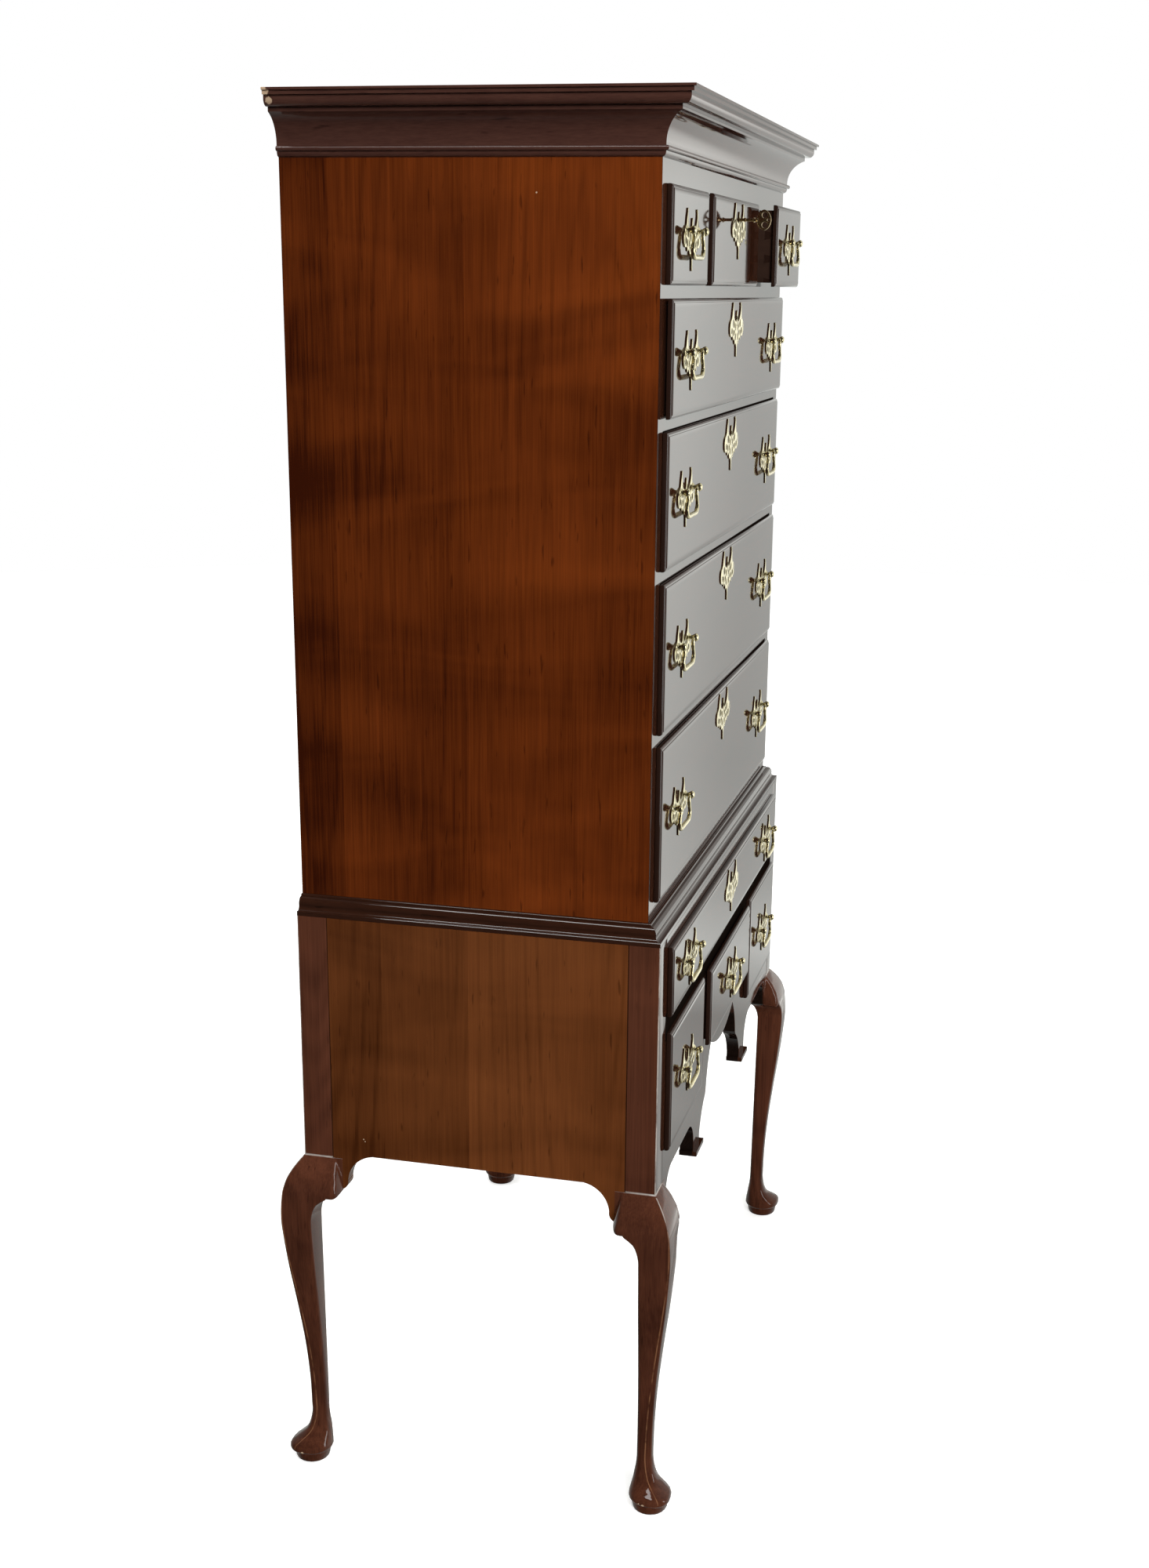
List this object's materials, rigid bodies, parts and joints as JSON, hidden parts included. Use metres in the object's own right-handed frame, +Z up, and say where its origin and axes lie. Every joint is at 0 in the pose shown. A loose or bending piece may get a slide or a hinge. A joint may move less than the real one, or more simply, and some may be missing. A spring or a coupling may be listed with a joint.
{
  "type": "highboy chest of drawers",
  "caption": "Tall two-part chest of drawers in polished cherry on four cabriole legs, with a shaped apron, a deep cornice, brass bail pulls and a key in its lock.",
  "frame": {"origin": "on the floor, under the middle of the four feet", "axes": "+Z up, the drawer fronts face -Y, +X towards the right end as seen from the front"},
  "size_m": [0.9946, 0.5582, 1.836],
  "materials": {
    "cherry_panel": "polished cherry, vertical figure",
    "cherry_dark": "polished cherry, darker red-brown",
    "cherry_frame": "polished cherry",
    "cherry_front": "polished cherry, horizontal figure",
    "poplar": "plain unfinished poplar",
    "pine": "plain aged pine",
    "brass": "polished brass",
    "brass_key": "handled brass",
    "iron": "oiled iron"
  },
  "bodies": {
    "case": {"cornice": "cherry_dark", "waist_moulding": "cherry_dark", "upper_side_boards": "cherry_panel", "inner_boards": "poplar", "front_frame": "cherry_frame", "back_boards": "pine", "base_side_panels": "cherry_panel", "apron": "cherry_frame", "legs": "cherry_dark", "knee_blocks": "cherry_dark"},
    "drawer_top_left": {"drawer_top_left_front": "cherry_front", "drawer_top_left_box": "poplar", "drawer_top_left_brass": "brass"},
    "bail_top_left": {"bail_top_left": "brass"},
    "drawer_top_centre": {"drawer_top_centre_front": "cherry_front", "drawer_top_centre_box": "poplar", "drawer_top_centre_brass": "brass"},
    "drawer_top_right": {"drawer_top_right_front": "cherry_front", "drawer_top_right_box": "poplar", "drawer_top_right_brass": "brass"},
    "bail_top_right": {"bail_top_right": "brass"},
    "drawer_second": {"drawer_second_front": "cherry_front", "drawer_second_box": "poplar", "drawer_second_brass": "brass"},
    "bail_second_left": {"bail_second_left": "brass"},
    "bail_second_right": {"bail_second_right": "brass"},
    "drawer_third": {"drawer_third_front": "cherry_front", "drawer_third_box": "poplar", "drawer_third_brass": "brass"},
    "bail_third_left": {"bail_third_left": "brass"},
    "bail_third_right": {"bail_third_right": "brass"},
    "drawer_fourth": {"drawer_fourth_front": "cherry_front", "drawer_fourth_box": "poplar", "drawer_fourth_brass": "brass"},
    "bail_fourth_left": {"bail_fourth_left": "brass"},
    "bail_fourth_right": {"bail_fourth_right": "brass"},
    "drawer_fifth": {"drawer_fifth_front": "cherry_front", "drawer_fifth_box": "poplar", "drawer_fifth_brass": "brass"},
    "bail_fifth_left": {"bail_fifth_left": "brass"},
    "bail_fifth_right": {"bail_fifth_right": "brass"},
    "drawer_base_long": {"drawer_base_long_front": "cherry_front", "drawer_base_long_box": "poplar", "drawer_base_long_brass": "brass"},
    "bail_base_long_left": {"bail_base_long_left": "brass"},
    "bail_base_long_right": {"bail_base_long_right": "brass"},
    "drawer_base_left": {"drawer_base_left_front": "cherry_front", "drawer_base_left_box": "poplar", "drawer_base_left_brass": "brass"},
    "bail_base_left": {"bail_base_left": "brass"},
    "drawer_base_centre": {"drawer_base_centre_front": "cherry_front", "drawer_base_centre_box": "poplar", "drawer_base_centre_brass": "brass"},
    "bail_base_centre": {"bail_base_centre": "brass"},
    "drawer_base_right": {"drawer_base_right_front": "cherry_front", "drawer_base_right_box": "poplar", "drawer_base_right_brass": "brass"},
    "bail_base_right": {"bail_base_right": "brass"},
    "key": {"key": "brass_key"},
    "lock_bolt": {"lock_bolt": "iron"}
  },
  "joints": [
    {"name": "slide_top_left", "type": "slide", "parent": "case", "child": "drawer_top_left", "axis": [0, -1, 0], "range_m": [0, 0.33]},
    {"name": "swing_top_left", "type": "hinge", "parent": "drawer_top_left", "child": "bail_top_left", "pos_m": [-0.309, -0.2424, 1.684], "axis": [-1, 0, 0], "range_deg": [-6, 100]},
    {"name": "slide_top_centre", "type": "slide", "parent": "case", "child": "drawer_top_centre", "axis": [0, -1, 0], "range_m": [-0.0024, 0.3276]},
    {"name": "slide_top_right", "type": "slide", "parent": "case", "child": "drawer_top_right", "axis": [0, -1, 0], "range_m": [-0.026, 0.304]},
    {"name": "swing_top_right", "type": "hinge", "parent": "drawer_top_right", "child": "bail_top_right", "pos_m": [0.309, -0.2684, 1.684], "axis": [-1, 0, 0], "range_deg": [-6, 100]},
    {"name": "slide_second", "type": "slide", "parent": "case", "child": "drawer_second", "axis": [0, -1, 0], "range_m": [-0.003, 0.327]},
    {"name": "swing_second_left", "type": "hinge", "parent": "drawer_second", "child": "bail_second_left", "pos_m": [-0.309, -0.2454, 1.5415], "axis": [-1, 0, 0], "range_deg": [-6, 100]},
    {"name": "swing_second_right", "type": "hinge", "parent": "drawer_second", "child": "bail_second_right", "pos_m": [0.309, -0.2454, 1.5415], "axis": [-1, 0, 0], "range_deg": [-6, 100]},
    {"name": "slide_third", "type": "slide", "parent": "case", "child": "drawer_third", "axis": [0, -1, 0], "range_m": [0, 0.33]},
    {"name": "swing_third_left", "type": "hinge", "parent": "drawer_third", "child": "bail_third_left", "pos_m": [-0.309, -0.2424, 1.372], "axis": [-1, 0, 0], "range_deg": [-6, 100]},
    {"name": "swing_third_right", "type": "hinge", "parent": "drawer_third", "child": "bail_third_right", "pos_m": [0.309, -0.2424, 1.372], "axis": [-1, 0, 0], "range_deg": [-6, 100]},
    {"name": "slide_fourth", "type": "slide", "parent": "case", "child": "drawer_fourth", "axis": [0, -1, 0], "range_m": [0, 0.33]},
    {"name": "swing_fourth_left", "type": "hinge", "parent": "drawer_fourth", "child": "bail_fourth_left", "pos_m": [-0.309, -0.2424, 1.1775], "axis": [-1, 0, 0], "range_deg": [-6, 100]},
    {"name": "swing_fourth_right", "type": "hinge", "parent": "drawer_fourth", "child": "bail_fourth_right", "pos_m": [0.309, -0.2424, 1.1775], "axis": [-1, 0, 0], "range_deg": [-6, 100]},
    {"name": "slide_fifth", "type": "slide", "parent": "case", "child": "drawer_fifth", "axis": [0, -1, 0], "range_m": [0, 0.33]},
    {"name": "swing_fifth_left", "type": "hinge", "parent": "drawer_fifth", "child": "bail_fifth_left", "pos_m": [-0.309, -0.2424, 0.965], "axis": [-1, 0, 0], "range_deg": [-6, 100]},
    {"name": "swing_fifth_right", "type": "hinge", "parent": "drawer_fifth", "child": "bail_fifth_right", "pos_m": [0.309, -0.2424, 0.965], "axis": [-1, 0, 0], "range_deg": [-6, 100]},
    {"name": "slide_base_long", "type": "slide", "parent": "case", "child": "drawer_base_long", "axis": [0, -1, 0], "range_m": [0, 0.35]},
    {"name": "swing_base_long_left", "type": "hinge", "parent": "drawer_base_long", "child": "bail_base_long_left", "pos_m": [-0.309, -0.2634, 0.756], "axis": [-1, 0, 0], "range_deg": [-6, 100]},
    {"name": "swing_base_long_right", "type": "hinge", "parent": "drawer_base_long", "child": "bail_base_long_right", "pos_m": [0.309, -0.2634, 0.756], "axis": [-1, 0, 0], "range_deg": [-6, 100]},
    {"name": "slide_base_left", "type": "slide", "parent": "case", "child": "drawer_base_left", "axis": [0, -1, 0], "range_m": [0, 0.35]},
    {"name": "swing_base_left", "type": "hinge", "parent": "drawer_base_left", "child": "bail_base_left", "pos_m": [-0.309, -0.2634, 0.6015], "axis": [-1, 0, 0], "range_deg": [-6, 100]},
    {"name": "slide_base_centre", "type": "slide", "parent": "case", "child": "drawer_base_centre", "axis": [0, -1, 0], "range_m": [-0.004, 0.346]},
    {"name": "swing_base_centre", "type": "hinge", "parent": "drawer_base_centre", "child": "bail_base_centre", "pos_m": [0, -0.2674, 0.628], "axis": [-1, 0, 0], "range_deg": [-6, 100]},
    {"name": "slide_base_right", "type": "slide", "parent": "case", "child": "drawer_base_right", "axis": [0, -1, 0], "range_m": [0, 0.35]},
    {"name": "swing_base_right", "type": "hinge", "parent": "drawer_base_right", "child": "bail_base_right", "pos_m": [0.309, -0.2634, 0.6015], "axis": [-1, 0, 0], "range_deg": [-6, 100]},
    {"name": "key_turn", "type": "hinge", "parent": "drawer_top_centre", "child": "key", "pos_m": [0, -0.2202, 1.707], "axis": [0, 1, 0], "range_deg": [0, 180]},
    {"name": "bolt_rise", "type": "slide", "parent": "drawer_top_centre", "child": "lock_bolt", "axis": [0, 0, 1], "range_m": [0, 0.007]}
  ],
  "couplings": [
    {"joint": "bolt_rise", "follows": "key_turn", "m_per_rad": 0.0022282}
  ]
}
